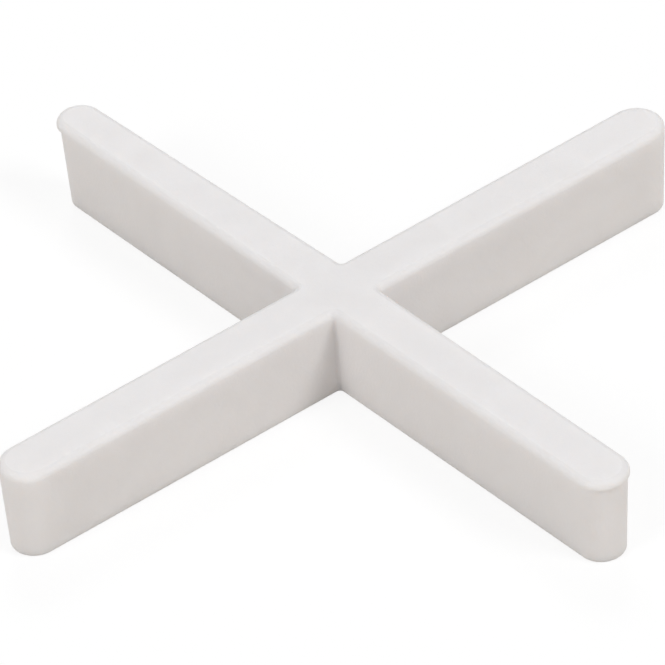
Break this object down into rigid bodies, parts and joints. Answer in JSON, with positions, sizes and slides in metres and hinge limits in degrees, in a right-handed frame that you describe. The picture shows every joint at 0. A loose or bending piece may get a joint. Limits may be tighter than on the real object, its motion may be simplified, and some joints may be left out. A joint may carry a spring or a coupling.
{
  "type": "tile spacer",
  "caption": "Cross-shaped plastic spacer that holds the corners of tiles an even joint apart, with drafted sides and full-round arm ends.",
  "frame": {"origin": "centre of the crossing, on the foot face", "axes": "+Z from the narrow foot up to the wide top; X and Y along the arms, +Y along the arm that runs slimmer towards its tip"},
  "size_m": [0.0284, 0.0287, 0.0035],
  "materials": {
    "milky_plastic": "satin, slightly translucent"
  },
  "bodies": {
    "root": {"tile_spacer": "milky_plastic"}
  },
  "joints": []
}
